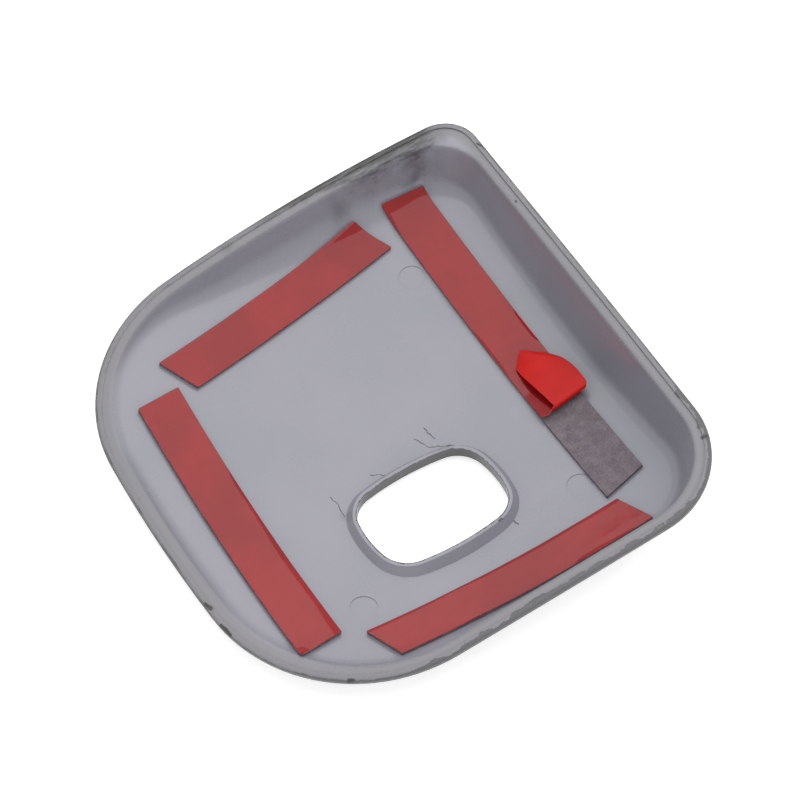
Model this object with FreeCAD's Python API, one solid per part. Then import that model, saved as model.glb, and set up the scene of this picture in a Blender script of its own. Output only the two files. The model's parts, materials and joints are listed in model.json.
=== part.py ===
import FreeCAD, Part
import math
import os

# Tailgate switch cover: a domed tray moulded in one piece, lying on its front face with the hollow
# back up. +Z points up and out of the hollow, +X to the deep grip side. All sizes in millimetres.

# Wall and domed face
WALL = 2.0
DOME_RADIUS = 290.0

# Rim plane: it rises towards the deep side, and the walls draw square to it, each with its own draft
RIM_TILT = 7.5
RIM_HEIGHT = 17.4
RIGHT_DRAFT = 15.0
TOP_DRAFT = 24.0
LEFT_DRAFT = 15.0
BOTTOM_DRAFT = 15.0

# Lip outline in the rim plane: overall size, then the tilt and bow radius of each side, then corners
COVER_LENGTH = 125.2
COVER_WIDTH = 130.7
RIGHT_SHAPE = (-0.2, 6000.0)
TOP_SHAPE = (2.3, 450.0)
LEFT_SHAPE = (-0.2, 420.0)
BOTTOM_SHAPE = (-1.3, 6000.0)
LIP_CORNERS = (10.0, 41.0, 44.0, 23.0)

# Flared lip, with a bead outside, a rebate inside it and eased outer edges
LIP_WIDTH = 3.8
LIP_THICKNESS = 1.8
LIP_EDGE = 0.4
BEAD_WIDTH = 1.6
REBATE_DEPTH = 0.35

# Hollow: corner radii at the rim plane and at the foot
HOLLOW_CORNERS = (15.0, 38.0, 41.0, 20.0)
FOOT_CORNERS = (8.0, 28.0, 31.0, 12.0)
FOOT_DEPTH = 36.0

# Fillet round the floor at both ends of each side, going round from the deep side: it is tight there,
# and widens where the walls beside it are high
RIGHT_FOOT = (3.0, 3.0)
TOP_FOOT = (10.0, 5.0)
LEFT_FOOT = (4.0, 4.0)
BOTTOM_FOOT = (4.0, 5.0)

# Switch hole, by its shift along the near side and its distance in from it, and the collar that stands
# round it on the back
HOLE_SHIFT = 0.3
HOLE_INSET = 41.95
HOLE_TURN = 1.0
HOLE_HALF_LENGTH = 18.2
HOLE_HALF_WIDTH = 12.9
HOLE_END_BOW = 30.0
HOLE_SIDE_BOW = 70.0
HOLE_CORNER = 8.2
COLLAR_LAND = 1.0
COLLAR_SLOPE = 2.2
COLLAR_HEIGHT = 2.8
HOLE_WALL = 2.9

# Round marks that the ejector pins leave in the floor, by their distances in from the deep or shallow
# side and from the top or bottom side
EJECTOR_RADIUS = 3.4
EJECTOR_DEPTH = 0.15
TOP_RIGHT_EJECTOR = (30.6, 28.65)
BOTTOM_LEFT_EJECTOR = (33.8, 26.65)
BOTTOM_RIGHT_EJECTOR = (29.1, 27.65)

# Foam tape strips: distance in from their side of the cover, shift along it, shortening against the
# side's half length, width, direction and skew of the two end cuts
FOAM_THICKNESS = 1.0
LINER_THICKNESS = 0.15
LEFT_STRIP = (19.6, -3.1, 24.9, 12.0, -91.4, -1.7)
TOP_STRIP = (18.7, -2.3, 30.8, 11.0, 9.4, -3.4)
RIGHT_STRIP = (20.1, 6.8, 14.8, 12.0, -89.5, -2.2)
BOTTOM_STRIP = (13.4, 4.5, 27.6, 10.0, -1.2, -3.8)

# Release film on the right strip: where it lifts off, how its lifted run starts on the flat one, then
# its lift, its curl and the length folded back
PEELED_STRIP = "right"
PEEL_START = 13.5
PEEL_OVERLAP = 1.5
PEEL_STEP = 0.08
PEEL_LIFT_ANGLE = 24.0
PEEL_LIFT_RADIUS = 9.0
PEEL_RUN = 5.0
CURL_RADIUS = 2.2
FLAP_LENGTH = 19.0
FLAP_SAG_RADIUS = 60.0
FLAP_RISE_ANGLE = 12.0

# Working reach of the cutting bodies, and how far the hollow's walls run on above the rim plane
REACH = 200.0
HOLLOW_RISE = 21.6
QUARTER_TURN = 90.0


def polar(angle):
    """Unit vector in the plane at an angle in degrees."""
    return FreeCAD.Vector(math.cos(math.radians(angle)), math.sin(math.radians(angle)), 0)


def bearing(vector, base=FreeCAD.Vector(1, 0, 0)):
    """Signed turn in plan from a base vector to a vector, in degrees, from -45 for the deep side to 315."""
    turn = math.degrees(math.atan2(vector.y, vector.x) - math.atan2(base.y, base.x))
    return (turn + QUARTER_TURN / 2) % (4 * QUARTER_TURN) - QUARTER_TURN / 2


def side_circle(side, base, inset):
    """Centre and radius of the bowed side that faces the base angle."""
    distance, tilt, bow = side
    return polar(base + tilt) * (distance - bow), bow - inset


def corner_centre(first, second, radius, base):
    """Centre of the circle that touches two side circles from inside, on the base angle's side."""
    reach_1, reach_2 = first[1] - radius, second[1] - radius
    span = second[0] - first[0]
    length = span.Length
    along = (reach_1 ** 2 - reach_2 ** 2 + length ** 2) / (2 * length)
    across = math.sqrt(reach_1 ** 2 - along ** 2)
    unit = span / length
    normal = FreeCAD.Vector(-unit.y, unit.x, 0)
    foot = first[0] + unit * along
    candidates = [foot + normal * across, foot - normal * across]
    return max(candidates, key=lambda point: point.dot(polar(base)))


def rounded_outline(sides, corners, inset, placement):
    """Closed wire of four bowed sides and four corner arcs, set in by one inset or one for each side."""
    insets = inset if isinstance(inset, list) else [inset] * 4
    circles = [side_circle(side, QUARTER_TURN * i, insets[i]) for i, side in enumerate(sides)]
    centres = []
    for i in range(4):
        base = QUARTER_TURN * (i + 0.5)
        centres.append(corner_centre(circles[i], circles[(i + 1) % 4], corners[i], base))
    points = []
    for i in range(4):
        middle, radius = circles[i]
        before, after = centres[i - 1], centres[i]
        for centre in (before, after):
            points.append(middle + (centre - middle).normalize() * radius)
    edges = []
    for i in range(4):
        middle, radius = circles[i]
        start, end = points[2 * i], points[2 * i + 1]
        crown = middle + ((start + end) * 0.5 - middle).normalize() * radius
        edges.append(Part.Arc(start, crown, end).toShape())
        turn = centres[i]
        start, end = end, points[(2 * i + 2) % 8]
        crown = turn + ((start + end) * 0.5 - turn).normalize() * corners[i]
        edges.append(Part.Arc(start, crown, end).toShape())
    wire = Part.Wire(edges)
    wire.Placement = placement
    return wire


SIDES = (
    (COVER_LENGTH / 2, *RIGHT_SHAPE),
    (COVER_WIDTH / 2, *TOP_SHAPE),
    (COVER_LENGTH / 2, *LEFT_SHAPE),
    (COVER_WIDTH / 2, *BOTTOM_SHAPE),
)
# Each strip as (centre x, centre y, half length, width, direction, skew)
STRIPS = {
    "left": (LEFT_STRIP[0] - COVER_LENGTH / 2, LEFT_STRIP[1], COVER_WIDTH / 2 - LEFT_STRIP[2], *LEFT_STRIP[3:]),
    "top": (TOP_STRIP[1], COVER_WIDTH / 2 - TOP_STRIP[0], COVER_LENGTH / 2 - TOP_STRIP[2], *TOP_STRIP[3:]),
    "right": (COVER_LENGTH / 2 - RIGHT_STRIP[0], RIGHT_STRIP[1], COVER_WIDTH / 2 - RIGHT_STRIP[2], *RIGHT_STRIP[3:]),
    "bottom": (BOTTOM_STRIP[1], BOTTOM_STRIP[0] - COVER_WIDTH / 2, COVER_LENGTH / 2 - BOTTOM_STRIP[2],
               *BOTTOM_STRIP[3:]),
}
WALL_DRAFTS = (RIGHT_DRAFT, TOP_DRAFT, LEFT_DRAFT, BOTTOM_DRAFT)
FOOT_FILLETS = (RIGHT_FOOT, TOP_FOOT, LEFT_FOOT, BOTTOM_FOOT)
HOLE_CENTRE = (HOLE_SHIFT, HOLE_INSET - COVER_WIDTH / 2)
EJECTOR_CENTRES = (
    (COVER_LENGTH / 2 - TOP_RIGHT_EJECTOR[0], COVER_WIDTH / 2 - TOP_RIGHT_EJECTOR[1]),
    (BOTTOM_LEFT_EJECTOR[0] - COVER_LENGTH / 2, BOTTOM_LEFT_EJECTOR[1] - COVER_WIDTH / 2),
    (COVER_LENGTH / 2 - BOTTOM_RIGHT_EJECTOR[0], BOTTOM_RIGHT_EJECTOR[1] - COVER_WIDTH / 2),
)
RIM_TURN = FreeCAD.Rotation(FreeCAD.Vector(0, 1, 0), -RIM_TILT)
RIM_NORMAL = RIM_TURN.multVec(FreeCAD.Vector(0, 0, 1))
DOME_CENTRE = FreeCAD.Vector(0, 0, WALL + DOME_RADIUS)


def at_rim(height):
    """Placement in the rim plane, shifted along its normal."""
    return FreeCAD.Placement(FreeCAD.Vector(0, 0, RIM_HEIGHT) + RIM_NORMAL * height, RIM_TURN)


def lip_prism(inset, height):
    """Prism of the lip outline below the rim plane."""
    corners = [radius - inset for radius in LIP_CORNERS]
    face = Part.Face(rounded_outline(SIDES, corners, inset, at_rim(-height)))
    return face.extrude(RIM_NORMAL * (height + LIP_THICKNESS))


def ball(radius):
    """Ball about the dome's centre, turned so that no seam crosses the cover."""
    return Part.makeSphere(radius, DOME_CENTRE, FreeCAD.Vector(0, 1, 0))


def bowl(grow):
    """Drafted body with a domed underside and a filleted foot: the hollow, grown by the wall or by nothing."""
    slopes = [math.tan(math.radians(draft)) for draft in WALL_DRAFTS]
    wires = []
    for height in (-FOOT_DEPTH, HOLLOW_RISE):
        share = height / FOOT_DEPTH
        radii = [top + (top - foot) * share + grow for top, foot in zip(HOLLOW_CORNERS, FOOT_CORNERS)]
        insets = [LIP_WIDTH - grow - height * slope for slope in slopes]
        wires.append(rounded_outline(SIDES, radii, insets, at_rim(height)))
    walls = Part.makeLoft(wires, True, True)
    return foot_fillet(walls.common(ball(DOME_RADIUS + grow)), grow)


def foot_radii(grow):
    """Fillet radius at both ends of each side and corner of the foot, going round from the deep side."""
    radii = []
    for side, following in zip(FOOT_FILLETS, FOOT_FILLETS[1:] + FOOT_FILLETS[:1]):
        radii.append((side[0] + grow, side[1] + grow))
        radii.append((side[1] + grow, following[0] + grow))
    return radii


def foot_fillet(body, grow):
    """The body with the edge of its domed floor rounded by radii that change from side to side."""
    floor = [face for face in body.Faces if isinstance(face.Surface, Part.Sphere)][0]
    middle = floor.CenterOfMass
    foot = sorted(floor.Edges, key=lambda edge: bearing(edge.CenterOfMass - middle))
    rounded = []
    for edge, (before, after) in zip(foot, foot_radii(grow)):
        first, last = (bearing(vertex.Point - middle, edge.CenterOfMass - middle) for vertex in edge.Vertexes)
        number = [edge.isSame(other) for other in body.Edges].index(True) + 1
        rounded.append((number, before, after) if first < last else (number, after, before))
    document = FreeCAD.newDocument("foot")
    base = document.addObject("Part::Feature", "Body")
    base.Shape = body
    fillet = document.addObject("Part::Fillet", "Foot")
    fillet.Base = base
    fillet.Edges = rounded
    document.recompute()
    shape = fillet.Shape.copy()
    FreeCAD.closeDocument("foot")
    return shape


def rim_cut(shape):
    """What lies below the rim plane."""
    block = Part.makeBox(2 * REACH, 2 * REACH, REACH, FreeCAD.Vector(-REACH, -REACH, -REACH))
    block.Placement = at_rim(0)
    return shape.common(block)


def lip_ring():
    """The flared lip as a plate with eased outer edges."""
    face = Part.Face(rounded_outline(SIDES, LIP_CORNERS, 0, at_rim(-LIP_THICKNESS)))
    plate = face.extrude(RIM_NORMAL * LIP_THICKNESS)
    caps = [f for f in plate.Faces if len(f.Edges) == 8]
    edges = [edge for cap in caps for edge in cap.Edges]
    return plate.makeChamfer(LIP_EDGE, edges)


def dome_point(x, y, depth=0.0):
    """Point over (x, y) on the floor of the hollow, raised by a depth towards the dome's centre."""
    radius = DOME_RADIUS - depth
    return FreeCAD.Vector(x, y, DOME_CENTRE.z - math.sqrt(radius ** 2 - x ** 2 - y ** 2))


def on_dome(x, y, turn=0.0, height=0.0):
    """Placement square to the floor over (x, y), turned about its own normal."""
    foot = dome_point(x, y)
    normal = (DOME_CENTRE - foot).normalize()
    lean = FreeCAD.Rotation(FreeCAD.Vector(0, 0, 1), normal)
    spin = FreeCAD.Rotation(FreeCAD.Vector(0, 0, 1), turn)
    return FreeCAD.Placement(foot + normal * height, lean.multiply(spin))


def hole_outline(grow, height):
    """Outline of the switch hole, grown all round, at a height over the floor."""
    end = (HOLE_HALF_LENGTH, 0.0, HOLE_END_BOW)
    side = (HOLE_HALF_WIDTH, 0.0, HOLE_SIDE_BOW)
    radii = [HOLE_CORNER + grow] * 4
    place = on_dome(*HOLE_CENTRE, turn=HOLE_TURN, height=height)
    return rounded_outline((end, side, end, side), radii, -grow, place)


def collar_cone(top):
    """Sloped body of the collar with its top at a height over the floor."""
    run = COLLAR_HEIGHT + HOLE_WALL
    spread = COLLAR_LAND + COLLAR_SLOPE * run / COLLAR_HEIGHT
    return Part.makeLoft([hole_outline(COLLAR_LAND, top), hole_outline(spread, top - run)], True, True)


HOLLOW = bowl(0.0)
FOAM_SKIN = bowl(-FOAM_THICKNESS)
LINER_SKIN = bowl(-FOAM_THICKNESS - LINER_THICKNESS)


def cover_shell():
    """Tub, lip, collar, hole and ejector marks in one solid."""
    tub = rim_cut(bowl(WALL).cut(HOLLOW))
    shell = tub.fuse(lip_ring().cut(HOLLOW))
    shell = shell.cut(lip_prism(BEAD_WIDTH, REBATE_DEPTH))
    collar = collar_cone(COLLAR_HEIGHT).common(ball(DOME_RADIUS + WALL))
    shell = shell.fuse(collar)
    shell = shell.cut(collar_cone(COLLAR_HEIGHT - HOLE_WALL))
    reach = COLLAR_HEIGHT + HOLE_WALL
    axis = (DOME_CENTRE - dome_point(*HOLE_CENTRE)).normalize()
    shell = shell.cut(Part.Face(hole_outline(0.0, -reach)).extrude(axis * (2 * reach)))
    for x, y in EJECTOR_CENTRES:
        place = on_dome(x, y, height=-EJECTOR_DEPTH)
        pin = Part.makeCylinder(EJECTOR_RADIUS, WALL)
        pin.Placement = place
        shell = shell.cut(pin)
    return shell.removeSplitter()


def strip_place(strip, run=0.0):
    """Placement square to the floor on the strip's middle line, with local X along it, a run past its centre."""
    x, y, _, _, direction, _ = STRIPS[strip]
    place = on_dome(x, y, turn=direction)
    across = place.Rotation.multVec(FreeCAD.Vector(0, 1, 0))
    swing = FreeCAD.Rotation(across, -math.degrees(run / DOME_RADIUS))
    return FreeCAD.Placement(FreeCAD.Vector(), swing, DOME_CENTRE).multiply(place)


def strip_prism(strip, end=None):
    """Prism over a strip, square to the floor, as a whole or up to an end measured from its centre."""
    _, _, half_length, width, _, skew = STRIPS[strip]
    half_width = width / 2
    ends = [-half_length + skew / 2, -half_length - skew / 2]
    if end is None:
        ends += [half_length - skew / 2, half_length + skew / 2]
    else:
        ends += [end, end]
    points = [
        FreeCAD.Vector(ends[0], half_width, -WALL),
        FreeCAD.Vector(ends[1], -half_width, -WALL),
        FreeCAD.Vector(ends[2], -half_width, -WALL),
        FreeCAD.Vector(ends[3], half_width, -WALL),
    ]
    prism = Part.Face(Part.makePolygon(points + points[:1])).extrude(FreeCAD.Vector(0, 0, REACH / 2))
    prism.Placement = strip_place(strip)
    return prism


def foam_strip(strip):
    """Foam core of one strip, which follows the floor and its foot fillet."""
    return strip_prism(strip).common(HOLLOW).cut(FOAM_SKIN)


def flat_liner(strip, end=None):
    """Release film that lies on the foam."""
    return strip_prism(strip, end).common(FOAM_SKIN).cut(LINER_SKIN)


def path_arc(start, heading, radius, turn):
    """Arc in the XZ plane from a point and heading, with a signed turn in degrees, and where it ends."""
    side = 1 if turn > 0 else -1
    normal = FreeCAD.Vector(-math.sin(heading), 0, math.cos(heading)) * side
    centre = start + normal * radius
    out = []
    for share in (0.5, 1.0):
        angle = heading + math.radians(turn) * share
        swing = FreeCAD.Vector(-math.sin(angle), 0, math.cos(angle)) * side
        out.append(centre - swing * radius)
    return Part.Arc(start, out[0], out[1]).toShape(), out[1], heading + math.radians(turn)


def path_line(start, heading, length):
    """Straight run in the XZ plane and where it ends."""
    end = start + FreeCAD.Vector(math.cos(heading), 0, math.sin(heading)) * length
    return Part.makeLine(start, end), end


def peeled_liner():
    """Release film that lies on the foam, lifts off, curls over and is folded back above itself."""
    width = STRIPS[PEELED_STRIP][3]
    start = FreeCAD.Vector(-PEEL_OVERLAP, -width / 2, FOAM_THICKNESS + PEEL_STEP)
    edge, point = path_line(start, 0.0, PEEL_OVERLAP)
    edges, heading = [edge], 0.0
    arc, point, heading = path_arc(point, heading, PEEL_LIFT_RADIUS, PEEL_LIFT_ANGLE)
    edges.append(arc)
    edge, point = path_line(point, heading, PEEL_RUN)
    edges.append(edge)
    arc, point, heading = path_arc(point, heading, CURL_RADIUS, 180.0 - PEEL_LIFT_ANGLE - FLAP_RISE_ANGLE)
    edges.append(arc)
    arc, point, heading = path_arc(point, heading, FLAP_SAG_RADIUS, math.degrees(FLAP_LENGTH / FLAP_SAG_RADIUS))
    edges.append(arc)
    band = Part.Wire(edges).makeOffset2D(LINER_THICKNESS, 0, True, True)
    film = band.extrude(FreeCAD.Vector(0, width, 0))
    film.Placement = strip_place(PEELED_STRIP, PEEL_START)
    return flat_liner(PEELED_STRIP, PEEL_START).fuse(film).removeSplitter()


def main():
    """Build every piece, set the origin under the middle of the cover and write the files."""
    pieces = {"cover_shell": cover_shell()}
    for strip in STRIPS:
        pieces["foam_" + strip] = foam_strip(strip)
        pieces["liner_" + strip] = peeled_liner() if strip == PEELED_STRIP else flat_liner(strip)
    box = pieces["cover_shell"].optimalBoundingBox(False)
    to_origin = FreeCAD.Vector(-box.Center.x, -box.Center.y, -box.ZMin)
    os.makedirs("parts", exist_ok=True)
    for name, shape in pieces.items():
        shape.translate(to_origin)
        shape.exportStep("parts/" + name + ".step")
        print(name, round(shape.Volume, 1))


main()
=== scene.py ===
"""Tailgate switch cover, lying on its front face with the hollow back up.

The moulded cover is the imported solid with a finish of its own. The foam tape strips and their release
films are built here over their solids. All sizes are in metres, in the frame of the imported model.
"""

import json
import logging
import math
from dataclasses import dataclass, field
from enum import Enum

import bpy
import numpy as np
from mathutils import Matrix, Vector
from mathutils.bvhtree import BVHTree

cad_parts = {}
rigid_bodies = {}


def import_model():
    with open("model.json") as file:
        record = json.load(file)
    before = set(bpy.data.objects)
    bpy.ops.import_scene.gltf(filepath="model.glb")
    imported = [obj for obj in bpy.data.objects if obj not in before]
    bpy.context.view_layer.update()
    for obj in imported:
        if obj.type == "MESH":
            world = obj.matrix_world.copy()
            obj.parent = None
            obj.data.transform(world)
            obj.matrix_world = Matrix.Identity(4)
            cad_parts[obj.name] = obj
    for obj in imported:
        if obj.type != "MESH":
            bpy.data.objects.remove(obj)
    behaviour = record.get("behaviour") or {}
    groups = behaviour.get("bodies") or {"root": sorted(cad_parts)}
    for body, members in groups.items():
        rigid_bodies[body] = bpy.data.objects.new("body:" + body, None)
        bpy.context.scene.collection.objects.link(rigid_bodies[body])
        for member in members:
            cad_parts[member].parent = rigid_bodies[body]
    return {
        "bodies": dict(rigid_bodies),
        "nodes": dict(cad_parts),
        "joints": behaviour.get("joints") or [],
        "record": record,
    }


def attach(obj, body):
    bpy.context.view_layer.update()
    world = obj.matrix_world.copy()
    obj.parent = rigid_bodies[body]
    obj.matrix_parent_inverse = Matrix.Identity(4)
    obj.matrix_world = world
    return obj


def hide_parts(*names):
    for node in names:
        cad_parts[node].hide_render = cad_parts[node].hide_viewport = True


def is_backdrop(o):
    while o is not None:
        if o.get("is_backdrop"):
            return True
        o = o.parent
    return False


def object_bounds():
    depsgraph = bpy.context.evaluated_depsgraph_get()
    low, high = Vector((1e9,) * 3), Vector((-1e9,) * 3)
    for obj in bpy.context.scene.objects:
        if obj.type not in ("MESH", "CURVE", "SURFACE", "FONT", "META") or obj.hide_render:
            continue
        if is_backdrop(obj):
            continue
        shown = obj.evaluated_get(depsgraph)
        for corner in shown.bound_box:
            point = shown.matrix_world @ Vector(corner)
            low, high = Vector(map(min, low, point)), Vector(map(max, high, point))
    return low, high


LOG = logging.getLogger("tailgate_switch_cover")
MM = 0.001

Socket = bpy.types.NodeSocket
Colour = tuple[float, float, float, float]


class Side(Enum):
    """The four sides of the cover that carry a tape strip."""

    LEFT = "left"
    TOP = "top"
    RIGHT = "right"
    BOTTOM = "bottom"


def linear(red: float, green: float, blue: float) -> Colour:
    """Turn a display colour into a linear one.

    Args:
        red: Red from 0 to 255.
        green: Green from 0 to 255.
        blue: Blue from 0 to 255.

    Returns:
        The linear colour with an alpha of 1.
    """
    levels = [channel / 255 for channel in (red, green, blue)]
    lit = [v / 12.92 if v <= 0.04045 else ((v + 0.055) / 1.055) ** 2.4 for v in levels]
    return lit[0], lit[1], lit[2], 1.0


class Graph:
    """Node graph of one finish, with a short call for each kind of node."""

    def __init__(self, name: str) -> None:
        """Make an empty material.

        Args:
            name: Name of the material.
        """
        self.material = bpy.data.materials.new(name)
        self.material.use_nodes = True
        self.tree = self.material.node_tree
        self.tree.nodes.clear()
        self.output = self.tree.nodes.new("ShaderNodeOutputMaterial")

    def node(self, kind: str, inputs: dict, **settings: object) -> bpy.types.Node:
        """Add a node.

        Args:
            kind: Blender's name of the node type.
            inputs: Value or socket for each input, by name or index.
            **settings: Properties of the node itself.

        Returns:
            The new node.
        """
        made = self.tree.nodes.new(kind)
        for key, value in settings.items():
            setattr(made, key, value)
        for key, value in inputs.items():
            if isinstance(value, Socket):
                self.tree.links.new(value, made.inputs[key])
            else:
                made.inputs[key].default_value = value
        return made

    def math(self, operation: str, *values: object, clamp: bool = False) -> Socket:
        """Add a maths node.

        Args:
            operation: Name of the operation.
            *values: Numbers or sockets that it works on.
            clamp: Keep the result between 0 and 1.

        Returns:
            The socket of the result.
        """
        made = self.node("ShaderNodeMath", dict(enumerate(values)), operation=operation, use_clamp=clamp)
        return made.outputs[0]

    def vector(self, operation: str, *values: object) -> bpy.types.Node:
        """Add a vector maths node.

        Args:
            operation: Name of the operation.
            *values: Vectors or sockets that it works on.

        Returns:
            The node, whose first output is a vector and whose output Value is a number.
        """
        return self.node("ShaderNodeVectorMath", dict(enumerate(values)), operation=operation)

    def dot(self, first: object, second: object) -> Socket:
        """Dot product of two vectors."""
        return self.vector("DOT_PRODUCT", first, second).outputs["Value"]

    def smooth(self, value: object, low: float, high: float) -> Socket:
        """Rise smoothly from 0 at one value to 1 at another, or fall where the first is the larger.

        Args:
            value: Socket to read.
            low: Value that gives 0.
            high: Value that gives 1.

        Returns:
            The socket of the result.
        """
        start, end, first, last = (low, high, 0.0, 1.0) if low < high else (high, low, 1.0, 0.0)
        inputs = {"Value": value, "From Min": start, "From Max": end, "To Min": first, "To Max": last}
        return self.node("ShaderNodeMapRange", inputs, interpolation_type="SMOOTHSTEP").outputs["Result"]

    def noise(self, place: object, scale: float, detail: float = 3.0, rough: float = 0.55,
              warp: float = 0.0) -> Socket:
        """Noise from about 0 to 1 at a place.

        Args:
            place: Vector socket.
            scale: Features for a metre.
            detail: Octaves.
            rough: Strength of the finer octaves.
            warp: Distortion.

        Returns:
            The socket of the noise.
        """
        inputs = {"Vector": place, "Scale": scale, "Detail": detail, "Roughness": rough, "Distortion": warp}
        return self.node("ShaderNodeTexNoise", inputs).outputs["Fac"]

    def mix(self, share: object, first: object, second: object) -> Socket:
        """Mix two colours.

        Args:
            share: Share of the second colour.
            first: Colour or socket at 0.
            second: Colour or socket at 1.

        Returns:
            The socket of the mixed colour.
        """
        made = self.node("ShaderNodeMix", {0: share, 6: first, 7: second}, data_type="RGBA")
        return made.outputs[2]

    def bump(self, height: object, depth: float, strength: float = 1.0, under: object = None) -> Socket:
        """Turn a height from 0 to 1 into a normal.

        Args:
            height: Socket of the height.
            depth: Depth in metres that a height of 1 stands for.
            strength: Share of the relief that shows.
            under: Normal of the relief below this one.

        Returns:
            The socket of the normal.
        """
        inputs = {"Height": height, "Distance": depth, "Strength": strength}
        if under is not None:
            inputs["Normal"] = under
        return self.node("ShaderNodeBump", inputs).outputs["Normal"]

    def place(self) -> Socket:
        """Place in the frame of the object, as a vector socket."""
        return self.node("ShaderNodeTexCoord", {}).outputs["Object"]

    def finish(self, shader: Socket) -> bpy.types.Material:
        """Send a shader to the surface and give the material."""
        self.tree.links.new(shader, self.output.inputs["Surface"])
        return self.material


def unit(angle: float) -> np.ndarray:
    """Unit vector in a plane at an angle in degrees."""
    return np.array([math.cos(math.radians(angle)), math.sin(math.radians(angle))])


@dataclass(frozen=True)
class ArcOutline:
    """Closed outline of four bowed sides, joined by four corner arcs."""

    sides: tuple[tuple[float, float, float], ...]
    corners: tuple[float, float, float, float]

    def circles(self) -> list[tuple[np.ndarray, float]]:
        """Centre and radius of each bowed side."""
        return [(unit(90 * i + tilt) * (reach - bow), bow) for i, (reach, tilt, bow) in enumerate(self.sides)]

    def corner_centre(self, index: int) -> np.ndarray:
        """Centre of the corner arc between a side and the next.

        Args:
            index: Number of the side before the corner.

        Returns:
            The centre in the outline's plane.
        """
        circles = self.circles()
        (first, bow_1), (second, bow_2) = circles[index], circles[(index + 1) % 4]
        reach_1, reach_2 = bow_1 - self.corners[index], bow_2 - self.corners[index]
        span = second - first
        length = float(np.linalg.norm(span))
        along = (reach_1 ** 2 - reach_2 ** 2 + length ** 2) / (2 * length)
        across = math.sqrt(reach_1 ** 2 - along ** 2)
        direction = span / length
        normal = np.array([-direction[1], direction[0]])
        found = [first + direction * along + normal * side * across for side in (1, -1)]
        return max(found, key=lambda point: float(point @ unit(90 * index + 45)))

    def depth(self, graph: Graph, place: Socket) -> Socket:
        """Distance from the outline to a place, positive inside it.

        Args:
            graph: Graph to add the nodes to.
            place: Vector socket in the outline's plane.

        Returns:
            The socket of the distance in metres.
        """
        result = None
        for centre, bow in self.circles():
            away = graph.vector("DISTANCE", place, (*centre, 0.0)).outputs["Value"]
            inside = graph.math("SUBTRACT", bow, away)
            result = inside if result is None else graph.math("MINIMUM", result, inside)
        for index in range(4):
            centre = self.corner_centre(index)
            offset = graph.vector("SUBTRACT", place, (*centre, 0.0)).outputs[0]
            ends = [centre - circle[0] for circle in (self.circles()[index], self.circles()[(index + 1) % 4])]
            ahead = graph.math("GREATER_THAN", graph.dot(offset, (-ends[0][1], ends[0][0], 0.0)), 0.0)
            behind = graph.math("GREATER_THAN", graph.dot(offset, (ends[1][1], -ends[1][0], 0.0)), 0.0)
            wedge = graph.math("MULTIPLY", ahead, behind)
            away = graph.vector("LENGTH", offset).outputs["Value"]
            inside = graph.math("SUBTRACT", self.corners[index], away)
            change = graph.math("SUBTRACT", inside, result)
            result = graph.math("MULTIPLY_ADD", change, wedge, result)
        return result


@dataclass(frozen=True)
class CoverForm:
    """Sizes of the moulded cover that the finishes and strips need."""

    shift: Vector = Vector((-0.1343, 0.2286, 0.0)) * MM
    wall: float = 2.0 * MM
    dome_radius: float = 290.0 * MM
    rim_tilt: float = math.radians(7.5)
    rim_height: float = 17.4 * MM
    lip: ArcOutline = ArcOutline(
        ((62.6 * MM, -0.2, 6.0), (65.35 * MM, 2.3, 0.45), (62.6 * MM, -0.2, 0.42), (65.35 * MM, -1.3, 6.0)),
        (10 * MM, 41 * MM, 44 * MM, 23 * MM),
    )
    hole: ArcOutline = ArcOutline(
        ((18.2 * MM, 0.0, 30 * MM), (12.9 * MM, 0.0, 70 * MM)) * 2, (8.2 * MM,) * 4,
    )
    hole_centre: tuple[float, float] = (0.3 * MM, -23.4 * MM)
    hole_turn: float = 1.0

    @property
    def dome_centre(self) -> Vector:
        """Centre of the domed face."""
        return Vector((0.0, 0.0, self.wall + self.dome_radius)) + self.shift

    def square_to_floor(self, x: float, y: float, turn: float) -> Matrix:
        """Frame on the floor of the hollow, square to it.

        Args:
            x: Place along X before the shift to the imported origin.
            y: Place along Y before the shift.
            turn: Turn about the frame's own normal, in degrees.

        Returns:
            The frame as a matrix.
        """
        drop = math.sqrt(self.dome_radius ** 2 - x ** 2 - y ** 2)
        foot = self.dome_centre + Vector((x, y, -drop))
        lean = Vector((0.0, 0.0, 1.0)).rotation_difference((self.dome_centre - foot).normalized())
        spin = Matrix.Rotation(math.radians(turn), 4, "Z")
        return Matrix.Translation(foot) @ lean.to_matrix().to_4x4() @ spin

    def rim_place(self, graph: Graph, place: Socket) -> Socket:
        """Place within the tilted rim plane.

        Args:
            graph: Graph to add the nodes to.
            place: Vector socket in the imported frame.

        Returns:
            The vector socket: along the rim, across it and up from it.
        """
        foot = self.shift + Vector((0.0, 0.0, self.rim_height))
        turn = {"Vector": graph.vector("SUBTRACT", place, tuple(foot)).outputs[0], "Angle": self.rim_tilt}
        turned = graph.node("ShaderNodeVectorRotate", turn, rotation_type="Y_AXIS")
        return turned.outputs[0]

    def hole_place(self, graph: Graph, place: Socket) -> Socket:
        """Place within the plane of the switch hole.

        Args:
            graph: Graph to add the nodes to.
            place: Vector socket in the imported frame.

        Returns:
            The vector socket in the hole's plane.
        """
        frame = self.square_to_floor(*self.hole_centre, self.hole_turn)
        offset = graph.vector("SUBTRACT", place, tuple(frame.translation)).outputs[0]
        axes = [tuple(frame.col[i].to_3d()) for i in range(2)]
        parts = {"X": graph.dot(offset, axes[0]), "Y": graph.dot(offset, axes[1])}
        return graph.node("ShaderNodeCombineXYZ", parts).outputs[0]


@dataclass(frozen=True)
class SoftDarkMark:
    """Soft dark mark on the moulding, by its middle, size and strength; some are smears, some smears with
    painted shade.
    """

    x: float
    y: float
    radius: float
    strength: float


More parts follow.
